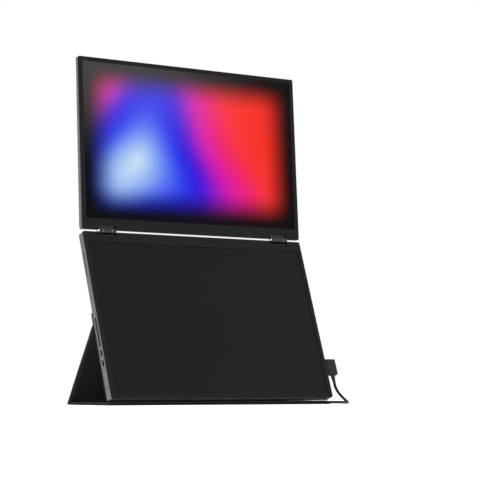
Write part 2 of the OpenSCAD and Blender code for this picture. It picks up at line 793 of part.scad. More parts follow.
module cable_coil() {
    color("#101011") translate([coil_x, coil_y, coil_z]) rotate_extrude()
        translate([coil_d / 2 - coil_w / 2, 0]) square([coil_w, coil_t]);
}
module cable_tie() {
    color("#2a2a2b") translate([coil_x, coil_y + coil_d / 2, 0]) difference() {
        translate([-tie_w / 2, -coil_w / 2 - coil_z, 0])
            cube([tie_w, coil_w + 2 * coil_z, coil_t + 2 * coil_z]);
        translate([0, -coil_d / 2, coil_z]) rotate_extrude()
            translate([coil_d / 2 - coil_w / 2, 0]) square([coil_w, coil_t]);
    }
}
module far_plug() {
    color("#161617") translate(far_plug_at) rotate([90, 0, 0]) {
        cylinder(h = far_relief_l, r1 = cable_d / 2 + 0.4, r2 = cable_d / 2 + 0.9);
        translate([0, 0, far_relief_l]) linear_extrude(far_grip_l)
            round_rect_mid(far_grip_w, far_grip_t, 2.6);
        translate([0, 0, far_relief_l + far_grip_l]) linear_extrude(plug_tip_l)
            round_rect_mid(plug_tip_w, plug_tip_h, plug_tip_h / 2 - 0.01);
    }
}
module round_rect_mid(w, h, r) { translate([0, -h / 2]) round_rect(w, h, r); }

lower_rear_shell();
lower_end_cover();
lower_bezel();
lower_screen();
lower_backlight();
main_board();
usb_sockets();
button_board();
speakers();
hinge_lower_leaves();
hinge_pins();
hinge_disc_springs();
hinge_lower_screws();
front_bumpers();
display_cable();
upper_rear_shell();
upper_bezel();
upper_screen();
upper_backlight();
driver_board();
hinge_upper_leaves();
hinge_upper_screws();
power_button();
plus_button();
minus_button();
stand_back_cover();
stand_back_board();
stand_leg_cover();
stand_leg_board();
stand_base_cover();
stand_base_board();
stand_magnets();
stand_grip_strip();
fold_skin_top();
fold_skin_foot();
usb_plug();
plug_relief();
cable_run();
cable_coil();
cable_tie();
cable_tail();
far_plug();
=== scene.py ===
"""Dresses the stacked screen extender: finishes for the built solids, and the leather
stand, the plugs and the cable modelled in full. Metres, +Z up, the user sits at -Y."""

import json
import math

import bmesh
import bpy
from bpy.props import FloatProperty, FloatVectorProperty, IntProperty, PointerProperty
from mathutils import Matrix, Vector, noise


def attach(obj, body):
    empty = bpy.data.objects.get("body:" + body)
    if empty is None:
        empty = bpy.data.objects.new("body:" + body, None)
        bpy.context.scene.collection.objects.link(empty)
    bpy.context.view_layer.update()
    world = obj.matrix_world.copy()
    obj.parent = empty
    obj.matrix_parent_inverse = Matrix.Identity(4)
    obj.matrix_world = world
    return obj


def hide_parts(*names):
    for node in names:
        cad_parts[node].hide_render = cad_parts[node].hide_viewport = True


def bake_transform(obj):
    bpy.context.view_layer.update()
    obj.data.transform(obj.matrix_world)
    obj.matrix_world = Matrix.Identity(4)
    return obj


bl_info = {
    "name": "Stacked Screen Extender",
    "version": (1, 0, 0),
    "blender": (4, 5, 0),
    "location": "View3D > Sidebar > Extender",
    "description": "Builds the looks of a folding two-screen extender on its stand",
    "category": "Add Mesh",
}

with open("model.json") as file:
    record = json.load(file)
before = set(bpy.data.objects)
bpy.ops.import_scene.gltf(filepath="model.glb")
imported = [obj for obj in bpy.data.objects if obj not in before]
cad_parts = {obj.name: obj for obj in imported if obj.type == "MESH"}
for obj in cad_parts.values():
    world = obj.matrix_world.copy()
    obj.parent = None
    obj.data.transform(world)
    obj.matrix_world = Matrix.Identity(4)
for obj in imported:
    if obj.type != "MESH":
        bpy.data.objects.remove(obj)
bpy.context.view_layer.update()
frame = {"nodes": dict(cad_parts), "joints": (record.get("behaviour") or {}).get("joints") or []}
PIVOTS = {joint["name"]: Vector(joint["pos_m"]) for joint in frame["joints"] if "pos_m" in joint}
HINGE = PIVOTS["screen_hinge"]
FOLD = PIVOTS["stand_leg_fold"]
FOOT = PIVOTS["stand_base_fold"]

# places on the built solids, in the lower case's own frame where they name no other
CASE_CORNER = Vector((0, -0.050, 0.0052))  # its origin: the case's rear lower edge
UPPER_CORNER = Vector((0, 0.0004, 0.0013))  # the upper case's rear lower edge, from the hinge
PORT_Y = -0.0062  # sockets, buttons and the angled plug
SPEAKER_Y = -0.004
BUTTONS_Z = 0.0935
LEFT_SOCKETS_Z = (0.0649, 0.0506)
RIGHT_SOCKET_Z = 0.0494
TOP_HOLE_Z = 0.2093
HOLE_PITCH = 0.0038
HOLE_COUNT = 10
HOLE_SHADE = 0.0013  # radius of the black painted as shade in and round each speaker hole
BUTTON_SHADE = (0.0209, 0.0021)  # half length and radius of the black painted as shade round the buttons, in their slot
SOCKET_SHADE = (0.0048, 0.0019)  # the same for the black painted as shade round each left socket
# half width of the black painted as shade along the end cover's seam
SEAM_SHADE_HALF = 0.0004
SKIN_GAP = 0.0001  # air between a fold's leather and what it lies on
FOLD_Z = 0.1056  # where the leg's fold meets the case
BACK_BOARD_Z = 0.001
PLUG_X = 0.1792  # the angled plug's face
PLUG_Z = 0.035  # the angled plug's lower end


# ---- sizes and colours that a user would change ----
def length(name, text, default):
    return FloatProperty(name=name, description=text, default=default, unit="LENGTH", precision=4)


def shade(name, text, default):
    return FloatVectorProperty(
        name=name, description=text, default=default, size=3, subtype="COLOR", min=0, max=1
    )


def angle(name, text, degrees):
    return FloatProperty(name=name, description=text, default=math.radians(degrees), unit="ROTATION")


class ExtenderSizes(bpy.types.PropertyGroup):
    """Sizes of the cases and the stand"""

    case_width: length("Case width", "Width of both cases and of the stand", 0.358)
    view_width: length("Picture width", "Width of the lit picture", 0.3448)
    view_height: length("Picture height", "Height of the lit picture", 0.216)
    chin: length("Chin", "Width of the frame beside the hinges", 0.0155)
    case_height: length("Case height", "Height of both cases", 0.2374)
    end_strip: length("End strip", "Width of the black strip at the hinge ends", 0.0018)
    seam_height: length("Seam height", "Height of the end cover's seam", 0.01715)
    lower_tilt: angle("Lower lean", "Backward lean of the lower case", 19.8)
    upper_tilt: angle("Upper lean", "Backward lean of the upper case", 3.7)
    leg_tilt: angle("Leg lean", "Lean of the stand's leg board", 33.2)
    margin: length("Welded margin", "Width of the flat margin round each board", 0.0045)
    puff: length("Puff", "How far the boards swell inside their margins", 0.00022)
    back_height: length("Back board", "Height of the board on the lower case", 0.1232)
    back_thickness: length("Back thickness", "Thickness of the back board", 0.003)
    leg_thickness: length("Leg thickness", "Thickness of the leg board", 0.003)
    base_thickness: length("Base thickness", "Thickness of the base board", 0.0032)
    base_front: length("Base front", "Distance of the base board's front edge", 0.056)
    leg_gap: length("Leg gap", "Bare leather between the leg board and a fold", 0.0028)
    base_gap: length("Base gap", "Bare leather between the base board and its fold", 0.0085)
    fold_reach: length("Fold reach", "How far a fold's leather lies on each board", 0.0125)
    grip_width: length("Grip width", "Width of the ribbed rubber strip", 0.008)
    grip_height: length("Grip height", "Height of the ribbed rubber strip", 0.0018)
    grip_ends: length("Grip ends", "Bare base board at both ends of the strip together", 0.012)
    grip_inset: length("Grip inset", "Bare base board in front of the strip", 0.0015)
    grip_ribs: IntProperty(
        name="Grip ribs", description="Ribs along the rubber strip", default=12, min=4, max=20
    )


class ExtenderCable(bpy.types.PropertyGroup):
    """Sizes of the cable and its plugs"""

    diameter: length("Cable diameter", "Outer diameter of the cable", 0.004)
    plug_length: length("Plug length", "Length of the angled plug along the case", 0.0234)
    plug_reach: length("Plug reach", "Reach of the angled plug beside the case", 0.0197)
    plug_thickness: length("Plug thickness", "Thickness of the angled plug", 0.007)
    plug_ribs: IntProperty(
        name="Plug ribs", description="Grip ribs along the angled plug", default=5, min=3, max=7
    )
    groove_depth: length("Groove depth", "Depth of the grooves between the ribs", 0.0009)
    relief_length: length("Relief", "Length of the angled plug's strain relief", 0.008)
    far_length: length("Far plug length", "Length of the straight plug's body", 0.018)
    far_width: length("Far plug width", "Width of the straight plug", 0.011)
    far_thickness: length("Far plug thickness", "Thickness of the straight plug", 0.0062)
    far_relief: length("Far relief", "Length of the straight plug's strain relief", 0.007)
    coil_diameter: length("Coil diameter", "Diameter of the coil at its middle turn", 0.044)
    turns: FloatProperty(
        name="Turns", description="Turns in the stored coil", default=5.5, min=3.5, max=7.5
    )
    tie_width: length("Tie width", "Width of the tie round the coil", 0.010)
    tie_thickness: length("Tie thickness", "Thickness of the tie's tape", 0.00042)


class ExtenderColours(bpy.types.PropertyGroup):
    """Colours of the finishes"""

    metal: shade("Metal", "Blasted aluminium of the cases", (0.158, 0.159, 0.161))
    bezel: shade("Frame", "Plastic of the front frames", (0.0055, 0.0055, 0.0057))
    leather: shade("Leather", "Covering of the stand", (0.021, 0.021, 0.0213))
    rubber: shade("Rubber", "Grip strip and bumpers", (0.008, 0.008, 0.008))
    cable: shade("Cable", "Jacket of the cable", (0.0045, 0.0045, 0.0047))
    plug: shade("Plug", "Plastic of the plugs", (0.04, 0.04, 0.0405))
    steel: shade("Steel", "Hinge pins and screws", (0.52, 0.52, 0.53))
    floor: shade("Floor", "Studio floor", (0.9, 0.9, 0.9))


def sizes():
    return bpy.context.scene.extender_sizes


def cable_sizes():
    return bpy.context.scene.extender_cable


def colours():
    return bpy.context.scene.extender_colours


# ---- the moving parts' own frames ----
def at(x, y, z):
    return Matrix.Translation((x, y, z))


def lower_frame():
    return Matrix.Translation(CASE_CORNER) @ Matrix.Rotation(-sizes().lower_tilt, 4, "X")


def upper_frame():
    turn = Matrix.Rotation(-sizes().upper_tilt, 4, "X")
    return Matrix.Translation(HINGE) @ turn @ Matrix.Translation(UPPER_CORNER)


def leg_frame():
    return Matrix.Translation(FOLD) @ Matrix.Rotation(sizes().leg_tilt, 4, "X")


def leg_length():
    """From the line of the upper fold down the leg to the table"""
    size = sizes()
    return (FOLD.z + size.leg_thickness * math.sin(size.leg_tilt)) / math.cos(size.leg_tilt)


# ---- shader building ----
def blank_material(name, **inputs):
    """A material, its node tree and its shader, with inputs such as sheen_weight set"""
    material = bpy.data.materials.new(name)
    material.use_nodes = True
    shader = material.node_tree.nodes["Principled BSDF"]
    for key, value in inputs.items():
        shader.inputs[key.replace("_", " ").title().replace("Ior", "IOR")].default_value = value
    return material, material.node_tree, shader


def node(tree, kind, **values):
    """A node with the values set as its properties, or else as its inputs"""
    made = tree.nodes.new(kind)
    for key, value in values.items():
        if hasattr(made, key):
            setattr(made, key, value)
        else:
            made.inputs[key.replace("_", " ").title()].default_value = value
    return made


def object_point(tree):
    return node(tree, "ShaderNodeTexCoord").outputs["Object"]


def mapped(tree, kind="POINT", **inputs):
    """The point on the object, moved, turned and stretched by a mapping"""
    mapping = node(tree, "ShaderNodeMapping", vector_type=kind)
    for key, value in inputs.items():
        mapping.inputs[key.title()].default_value = value
    tree.links.new(object_point(tree), mapping.inputs["Vector"])
    return mapping.outputs["Vector"]


def parts_of(tree, point):
    """The X, Y and Z of a point"""
    parts = node(tree, "ShaderNodeSeparateXYZ")
    tree.links.new(point, parts.inputs["Vector"])
    return parts.outputs


def noise_field(tree, scale, detail, point=None):
    field = node(tree, "ShaderNodeTexNoise", scale=scale, detail=detail)
    tree.links.new(point or object_point(tree), field.inputs["Vector"])
    return field.outputs["Fac"]


def ramp(tree, factor, stops, blending="LINEAR"):
    made = node(tree, "ShaderNodeValToRGB")
    made.color_ramp.interpolation = blending
    elements = made.color_ramp.elements
    while len(elements) < len(stops):
        elements.new(0.5)
    for element, (place, colour) in zip(elements, stops):
        element.position = place
        element.color = (*colour, 1)
    tree.links.new(factor, made.inputs["Fac"])
    return made.outputs["Color"]


def map_range(tree, value, low, high, to_low, to_high, kind="LINEAR"):
    made = node(
        tree, "ShaderNodeMapRange", interpolation_type=kind,
        from_min=low, from_max=high, to_min=to_low, to_max=to_high,
    )
    tree.links.new(value, made.inputs["Value"])
    return made.outputs["Result"]


def math_node(tree, operation, *values):
    made = node(tree, "ShaderNodeMath", operation=operation)
    for index, value in enumerate(values):
        if isinstance(value, (int, float)):
            made.inputs[index].default_value = value
        else:
            tree.links.new(value, made.inputs[index])
    return made.outputs["Value"]


def mixed(tree, kind, factor, first, second):
    """Two colours mixed by a fixed or a linked factor"""
    made = node(tree, "ShaderNodeMix", data_type="RGBA", blend_type=kind)
    for key, value in (("Factor", factor), ("A", first), ("B", second)):
        if isinstance(value, bpy.types.NodeSocket):
            tree.links.new(value, made.inputs[key])
        else:
            made.inputs[key].default_value = value
    return made.outputs["Result"]


def any_of(tree, first, *others):
    """1 where any of the masks is 1"""
    for other in others:
        first = math_node(tree, "MAXIMUM", first, other)
    return first


def within(tree, along, across, radius):
    """1 where two distances at right angles stay inside the radius"""
    square = math_node(tree, "MULTIPLY", across, across)
    reach = math_node(tree, "MULTIPLY_ADD", along, along, square)
    return math_node(tree, "LESS_THAN", reach, radius**2)


def slot_mask(tree, parts, middle_z, half_length, radius):
    """1 inside a round-ended slot in the line of sockets, along the case's own Z"""
    along = math_node(tree, "ABSOLUTE", math_node(tree, "SUBTRACT", parts["Z"], middle_z))
    over = math_node(tree, "MAXIMUM", math_node(tree, "SUBTRACT", along, half_length - radius), 0)
    return within(tree, over, math_node(tree, "SUBTRACT", parts["Y"], PORT_Y), radius)


def hole_shade_mask(tree, parts):
    """1 in and round the row of speaker holes, where black is painted as their shade"""
    half = HOLE_PITCH / 2
    nearest = math_node(tree, "WRAP", parts["Z"], TOP_HOLE_Z + half, TOP_HOLE_Z - half)
    along = math_node(tree, "SUBTRACT", nearest, TOP_HOLE_Z)
    across = math_node(tree, "SUBTRACT", parts["Y"], SPEAKER_Y)
    middle = TOP_HOLE_Z - half * (HOLE_COUNT - 1)
    in_row = math_node(tree, "COMPARE", parts["Z"], middle, half * HOLE_COUNT)
    return math_node(tree, "MULTIPLY", within(tree, along, across, HOLE_SHADE), in_row)


def tinted(colour, factor):
    return tuple(min(1.0, channel * factor) for channel in colour)


def mottled(tree, colour, scale, spread):
    """A colour that drifts a little over the surface"""
    stops = [(0.3, tinted(colour, 1 - spread)), (0.7, tinted(colour, 1 + spread))]
    return ramp(tree, noise_field(tree, scale, 4.0), stops)


def mottle(tree, shader, colour, scale, spread):
    tree.links.new(mottled(tree, colour, scale, spread), shader.inputs["Base Color"])


def uneven_gloss(tree, shader, scale, low, high):
    field = noise_field(tree, scale, 4.0)
    tree.links.new(map_range(tree, field, 0.3, 0.7, low, high), shader.inputs["Roughness"])


def relief(tree, shader, height, strength, distance):
    bump = node(tree, "ShaderNodeBump", strength=strength, distance=distance)
    tree.links.new(height, bump.inputs["Height"])
    tree.links.new(bump.outputs["Normal"], shader.inputs["Normal"])


# ---- finishes ----
def blasted_metal(name, colour, blacks_and_shade):
    """Anodised aluminium with the fine grain of bead blasting, black where the mask says, which marks
    black end strips and painted shade
    """
    material, tree, shader = blank_material(name, specular_ior_level=0.1)
    # the black of the hinge end strips, which also stands as painted shade in the lower case's seam,
    # slots and holes
    black = (0.004, 0.004, 0.004, 1)
    mask = blacks_and_shade(tree)
    metal_and_shade = mixed(tree, "MIX", mask, mottled(tree, colour, 18, 0.025), black)
    tree.links.new(metal_and_shade, shader.inputs["Base Color"])
    tree.links.new(map_range(tree, mask, 0, 1, 0.9, 0), shader.inputs["Metallic"])
    uneven_gloss(tree, shader, 60, 0.38, 0.46)
    relief(tree, shader, noise_field(tree, 9000, 2.0), 0.12, 0.00003)
    return material


def lower_black_and_shade(tree):
    """Black on the lower case: hinge end, and painted shade in the cover seam, the button slot and in
    and round the holes
    """
    size = sizes()
    lean = (-size.lower_tilt, 0, 0)
    parts = parts_of(tree, mapped(tree, "TEXTURE", location=CASE_CORNER, rotation=lean))
    end = math_node(tree, "GREATER_THAN", parts["Z"], size.case_height - size.end_strip)
    # black painted as shade along the end cover's seam
    seam = math_node(tree, "COMPARE", parts["Z"], size.seam_height, SEAM_SHADE_HALF)
    # black painted as shade in the slot round the buttons
    button_shade = slot_mask(tree, parts, BUTTONS_Z, *BUTTON_SHADE)
    # black painted as shade round the left sockets
    socket_shade = [slot_mask(tree, parts, up, *SOCKET_SHADE) for up in LEFT_SOCKETS_Z]
    on_left = math_node(tree, "LESS_THAN", parts["X"], 0)
    ports = math_node(tree, "MULTIPLY", any_of(tree, button_shade, *socket_shade), on_left)
    return any_of(tree, end, seam, ports, hole_shade_mask(tree, parts))


def upper_blacks(tree):
    """Black on the upper case: its hinge end"""
    size = sizes()
    place, lean = upper_frame().translation, (-size.upper_tilt, 0, 0)
    parts = parts_of(tree, mapped(tree, "TEXTURE", location=place, rotation=lean))
    return math_node(tree, "LESS_THAN", parts["Z"], size.end_strip)


def turned_metal(name, colour, roughness=0.3):
    """Steel with the fine rings that a lathe leaves"""
    material, tree, shader = blank_material(name, metallic=1.0)
    mottle(tree, shader, colour, 400, 0.08)
    uneven_gloss(tree, shader, 900, roughness - 0.06, roughness + 0.08)
    rings = noise_field(tree, 1, 2.0, mapped(tree, scale=(9000, 60, 60)))
    relief(tree, shader, rings, 0.1, 0.00002)
    return material


def moulded_plastic(name, colour, roughness, grain=5200, strength=0.18):
    """Plastic with the fine spark-erosion texture of its mould"""
    material, tree, shader = blank_material(name, specular_ior_level=0.12)
    mottle(tree, shader, colour, 40, 0.06)
    uneven_gloss(tree, shader, 120, roughness - 0.05, roughness + 0.06)
    relief(tree, shader, noise_field(tree, grain, 2.0), strength, 0.00004)
    return material


def rubber_like(name, colour, roughness=0.62):
    """Dull rubber with a fine uneven skin"""
    material, tree, shader = blank_material(name, specular_ior_level=0.14, sheen_weight=0.04)
    mottle(tree, shader, colour, 90, 0.12)
    uneven_gloss(tree, shader, 260, roughness - 0.08, roughness + 0.08)
    relief(tree, shader, noise_field(tree, 3600, 3.0), 0.2, 0.00004)
    return material


def grained_leather(name, colour):
    """Fine pebble grain with smoother, slightly paler rubbed ridges"""
    material, tree, shader = blank_material(
        name, specular_ior_level=0.07, sheen_weight=0.02, sheen_roughness=0.5
    )
    cells = node(tree, "ShaderNodeTexVoronoi", scale=1150, feature="SMOOTH_F1")
    tree.links.new(object_point(tree), cells.inputs["Vector"])
    grain = math_node(tree, "ADD", cells.outputs["Distance"], noise_field(tree, 420, 4.0))
    stops = [(0.45, tinted(colour, 1.5)), (0.8, colour), (1.1, tinted(colour, 0.6))]
    tree.links.new(ramp(tree, grain, stops), shader.inputs["Base Color"])
    tree.links.new(map_range(tree, grain, 0.4, 1.2, 0.44, 0.66), shader.inputs["Roughness"])
    relief(tree, shader, grain, 0.25, 0.0001)
    return material


def woven_tape(name, colour):
    """Hook-and-loop tape: a tight pile on a woven ground"""
    material, tree, shader = blank_material(name, sheen_weight=0.5, roughness=0.9)
    threads = node(tree, "ShaderNodeTexWave", scale=900)
    tree.links.new(object_point(tree), threads.inputs["Vector"])
    pile = math_node(tree, "ADD", threads.outputs["Fac"], noise_field(tree, 2600, 3.0))
    stops = [(0.4, tinted(colour, 0.6)), (1.2, tinted(colour, 2.2))]
    tree.links.new(ramp(tree, pile, stops), shader.inputs["Base Color"])
    relief(tree, shader, pile, 0.7, 0.0003)
    return material


def lacquered_board(name, colour, track):
    """Solder mask with the faint tracks under it"""
    material, tree, shader = blank_material(name, roughness=0.35)
    tracks = node(
        tree, "ShaderNodeTexBrick", scale=160, mortar_size=0.04, color1=(*colour, 1),
        color2=(*tinted(colour, 0.8), 1), mortar=(*track, 1),
    )
    tree.links.new(mapped(tree, rotation=(math.pi / 2, 0, 0)), tracks.inputs["Vector"])
    tree.links.new(tracks.outputs["Color"], shader.inputs["Base Color"])
    relief(tree, shader, tracks.outputs["Fac"], 0.2, 0.0001)
    return material


def dark_glass(name):
    """A switched-off panel: black behind anti-glare glass"""
    material, tree, shader = blank_material(name, specular_ior_level=0.1)
    mottle(tree, shader, (0.0035, 0.0036, 0.0042), 6, 0.2)
    uneven_gloss(tree, shader, 30, 0.26, 0.34)
    relief(tree, shader, noise_field(tree, 12000, 2.0), 0.05, 0.00001)
    return material


# the lit picture's colours, from the middle of its pale pool outwards
PICTURE = (
    (0.16, (0.62, 0.82, 0.93)),
    (0.28, (0.16, 0.3, 0.88)),
    (0.38, (0.006, 0.012, 0.86)),
    (0.5, (0.02, 0.004, 0.62)),
    (0.6, (0.7, 0.006, 0.42)),
    (0.7, (0.84, 0.012, 0.14)),
    (0.8, (0.98, 0.035, 0.016)),
    (1.0, (0.86, 0.02, 0.01)),
)


def lit_picture(name):
    """The lit panel: soft colour waves round a pale pool, dark edges, a painted reflection as haze in
    the upper corner
    """
    size = sizes()
    material, tree, shader = blank_material(
        name, base_color=(0.002, 0.002, 0.0022, 1), specular_ior_level=0.03, emission_strength=1.0
    )
    point = mapped(
        tree, "TEXTURE", location=upper_frame() @ Vector((0, 0, size.chin)),
        rotation=(-size.upper_tilt, 0, 0), scale=(size.view_width, 1, size.view_height),
    )
    parts = parts_of(tree, point)
    across, up = parts["X"], parts["Z"]
    east = math_node(tree, "MULTIPLY", math_node(tree, "ADD", across, 0.26), 1.5)
    swirl = math_node(tree, "SINE", math_node(tree, "MULTIPLY", across, 9.0))
    north = math_node(tree, "MULTIPLY_ADD", swirl, 0.12, math_node(tree, "SUBTRACT", up, 0.3))
    spread = math_node(tree, "MULTIPLY", north, north)
    spread = math_node(tree, "SQRT", math_node(tree, "MULTIPLY_ADD", east, east, spread))
    spread = math_node(tree, "MULTIPLY_ADD", noise_field(tree, 1.5, 0.0, point), 0.5, spread)
    picture = ramp(tree, math_node(tree, "MULTIPLY", spread, 0.7), PICTURE, "B_SPLINE")
    side = math_node(tree, "ABSOLUTE", across)
    level = math_node(tree, "ABSOLUTE", math_node(tree, "SUBTRACT", up, 0.5))
    side_fade = map_range(tree, side, 0.34, 0.49, 1.0, 0.01, "SMOOTHSTEP")
    level_fade = map_range(tree, level, 0.26, 0.48, 1.0, 0.01, "SMOOTHSTEP")
    dimmed = mixed(tree, "MULTIPLY", 1.0, picture, math_node(tree, "MULTIPLY", side_fade, level_fade))
    # a painted reflection: pale grey added to the glow, strongest at the upper left
    reflection_up = map_range(tree, up, 0.3, 1.0, 0.0, 0.055, "SMOOTHSTEP")
    reflection_across = map_range(tree, across, -0.25, 0.45, 1.0, 0.05, "SMOOTHSTEP")
    with_reflection = mixed(tree, "ADD", 1.0, dimmed, math_node(tree, "MULTIPLY", reflection_up, reflection_across))
    tree.links.new(with_reflection, shader.inputs["Emission Color"])
    uneven_gloss(tree, shader, 30, 0.3, 0.38)
    return material


MADE = {}


def finish(name):
    """The material of that name, made once"""
    tone = colours()
    makers = {
        "Blasted Aluminium": (blasted_metal, tone.metal, lower_black_and_shade),
        "Upper Blasted Aluminium": (blasted_metal, tone.metal, upper_blacks),
        "Frame Plastic": (moulded_plastic, tone.bezel, 0.46),
        "Button Plastic": (moulded_plastic, (0.004, 0.004, 0.0042), 0.4, 4200, 0.1),
        "Plug Plastic": (moulded_plastic, tone.plug, 0.5, 3600, 0.2),
        "Speaker Plastic": (moulded_plastic, (0.015, 0.015, 0.015), 0.6),
        "Switched Off Glass": (dark_glass,),
        "Lit Picture": (lit_picture,),
        "Stand Leather": (grained_leather, tone.leather),
        "Welded Margin": (grained_leather, tinted(tone.leather, 1.7)),
        "Board Edge": (grained_leather, tinted(tone.leather, 0.25)),
        "Grip Rubber": (rubber_like, tone.rubber),
        "Cable Jacket": (rubber_like, tone.cable, 0.5),
        "Tie Tape": (woven_tape, (0.014, 0.014, 0.014)),
        "Blackened Steel": (turned_metal, (0.045, 0.045, 0.048), 0.42),
        "Turned Steel": (turned_metal, tone.steel),
        "Spring Steel": (turned_metal, (0.4, 0.37, 0.31), 0.25),
        "Drawn Socket Steel": (turned_metal, (0.07, 0.07, 0.072), 0.4),
        "Nickel Plate": (turned_metal, (0.6, 0.59, 0.56), 0.15),
        "Green Solder Mask": (lacquered_board, (0.01, 0.09, 0.035), (0.03, 0.2, 0.08)),
        "Black Solder Mask": (lacquered_board, (0.012, 0.012, 0.014), (0.04, 0.04, 0.045)),
        "Amber Film": (moulded_plastic, (0.42, 0.22, 0.03), 0.3, 900, 0.1),
        "Light Guide": (moulded_plastic, (0.75, 0.77, 0.8), 0.25, 1800, 0.1),
        "Fibre Board": (rubber_like, (0.16, 0.1, 0.055), 0.85),
    }
    if name not in MADE:
        maker, *values = makers[name]
        MADE[name] = maker(name, *values)
    return MADE[name]


SOLID_FINISHES = {
    "Blasted Aluminium": ["lower_rear_shell", "lower_end_cover"],
    "Upper Blasted Aluminium": ["upper_rear_shell"],
    "Frame Plastic": ["lower_bezel", "upper_bezel"],
    "Button Plastic": ["power_button", "plus_button", "minus_button"],
    "Switched Off Glass": ["lower_screen"],
    "Lit Picture": ["upper_screen"],
    "Light Guide": ["lower_backlight", "upper_backlight"],
    "Green Solder Mask": ["main_board", "driver_board"],
    "Black Solder Mask": ["button_board"],
    "Drawn Socket Steel": ["usb_sockets"],
    "Speaker Plastic": ["speakers"],
    "Blackened Steel": ["hinge_lower_leaves", "hinge_upper_leaves"],
    "Turned Steel": ["hinge_pins", "hinge_lower_screws", "hinge_upper_screws"],
    "Spring Steel": ["hinge_disc_springs"],
    "Nickel Plate": ["stand_magnets"],
    "Amber Film": ["display_cable"],
    "Fibre Board": ["stand_back_board", "stand_leg_board", "stand_base_board"],
    "Grip Rubber": ["front_bumpers", "stand_grip_strip"],
    "Stand Leather": [
        "stand_back_cover", "stand_leg_cover", "stand_base_cover", "fold_skin_top", "fold_skin_foot",
    ],
    "Plug Plastic": ["usb_plug", "far_plug"],
    "Cable Jacket": ["plug_relief", "cable_run", "cable_coil", "cable_tail"],
    "Tie Tape": ["cable_tie"],
}


# ---- mesh building ----
def put(name, data):
    """An object with this data, put into the scene"""
    made = bpy.data.objects.new(name, data)
    bpy.context.scene.collection.objects.link(made)
    return made


def put_shape(name, shape):
    """The shape as an object of its own"""
    mesh = bpy.data.meshes.new(name)
    shape.to_mesh(mesh)
    shape.free()
    return put(name, mesh)


def add_piece(name, shape, place, body, slot, replaced, *finishes):
    """Closes the shape, sets it in its place, and makes it a piece that rides on body"""
    bmesh.ops.remove_doubles(shape, verts=shape.verts, dist=1e-7)
    bmesh.ops.transform(shape, matrix=place, verts=shape.verts)
    bmesh.ops.recalc_face_normals(shape, faces=shape.faces)
    piece = put_shape(name, shape)
    for key in finishes:
        piece.data.materials.append(finish(key))
    for polygon in piece.data.polygons:
        polygon.use_smooth = True
    piece.data.set_sharp_from_angle(angle=math.radians(35))
    if replaced:
        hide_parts(replaced)
    if body:
        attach(piece, body)
    return piece


def verts_of(geometry):
    return [item for item in geometry if isinstance(item, bmesh.types.BMVert)]


def block(x, y, z):
    """A box of this size round the origin"""
    shape = bmesh.new()
    bmesh.ops.create_cube(shape, size=1, matrix=Matrix.Diagonal((x, y, z, 1)))
    return shape


def edges_along(shape, axis):
    """The edges that run along axis 0, 1 or 2"""
    return [e for e in shape.edges if abs((e.verts[0].co - e.verts[1].co)[axis]) > 1e-6]


def cut_across(shape, point, normal):
    geometry = shape.verts[:] + shape.edges[:] + shape.faces[:]
    bmesh.ops.bisect_plane(shape, geom=geometry, dist=1e-7, plane_co=point, plane_no=normal)


def sharp_edges(shape, degrees=50):
    least = math.radians(degrees)
    return [e for e in shape.edges if len(e.link_faces) == 2 and e.calc_face_angle(0) > least]


def round_edges(shape, edges, radius, segments=3):
    bmesh.ops.bevel(
        shape, geom=edges, offset=radius, offset_type="OFFSET", segments=segments,
        profile=0.5, affect="EDGES", clamp_overlap=True, material=-1,
    )


def step_between(value, low, high):
    """A soft step from 0 at low to 1 at high"""
    share = min(1, max(0, (value - low) / (high - low)))
    return share * share * (3 - 2 * share)


def leather_board(width, height, thickness, seed, fold=None):
    """A board wrapped in leather, with flat welded margins and a slightly swollen outer side
    that stays flat round the height fold. It spans -width/2..width/2 in X, 0..-thickness in Y
    and 0..height in Z, with the finish 1 on its margins and 2 on its edges."""
    size = sizes()
    flat, full = size.margin * 0.72, size.margin * 1.5  # insets where the swelling starts and ends
    edge_radius = min(0.0008, thickness * 0.32)
    slope = 0.006  # how steeply the swelling may grow away from the fold
    shape = bmesh.new()
    bmesh.ops.create_grid(shape, x_segments=30, y_segments=10, size=0.5)
    turn = at(0, 0, height / 2) @ Matrix.Rotation(math.pi / 2, 4, "X")
    stretch = Matrix.Diagonal((width, height, 1, 1))
    bmesh.ops.transform(shape, matrix=turn @ stretch, verts=shape.verts)
    for inset in (flat, size.margin, full):
        for side in (-1, 1):
            cut_across(shape, (side * (width / 2 - inset), 0, 0), (1, 0, 0))
            cut_across(shape, (0, 0, height / 2 + side * (height / 2 - inset)), (0, 0, 1))
    bmesh.ops.recalc_face_normals(shape, faces=shape.faces)
    if shape.faces[:][0].normal.y < 0:
        bmesh.ops.reverse_faces(shape, faces=shape.faces[:])
    bmesh.ops.solidify(shape, geom=shape.faces[:], thickness=thickness)
    outer = max(vertex.co.y for vertex in shape.verts)
    round_edges(shape, sharp_edges(shape), edge_radius)

    def inside(place):
        """How far the place lies from the board's nearest edge"""
        return min(width / 2 - abs(place.x), place.z, height - place.z)

    for vertex in shape.verts:
        x, y, z = vertex.co
        swell = step_between(inside(vertex.co), flat, full) * size.puff
        wobble = abs(noise.noise(Vector((x * 14, seed, z * 18)))) * size.puff * 0.6
        if fold is not None:
            swell = min(swell, slope * max(0, abs(z - fold) - size.fold_reach))
        if swell > 0 and abs(y - outer) < 1e-5:
            vertex.co.y += swell + min(0.8 * swell, wobble)
    for face in shape.faces:
        if abs(face.normal.y) < 0.6:
            face.material_index = 2
        elif inside(face.calc_center_median()) < flat:
            face.material_index = 1
    bmesh.ops.translate(shape, verts=shape.verts, vec=(0, -outer, 0))
    return shape


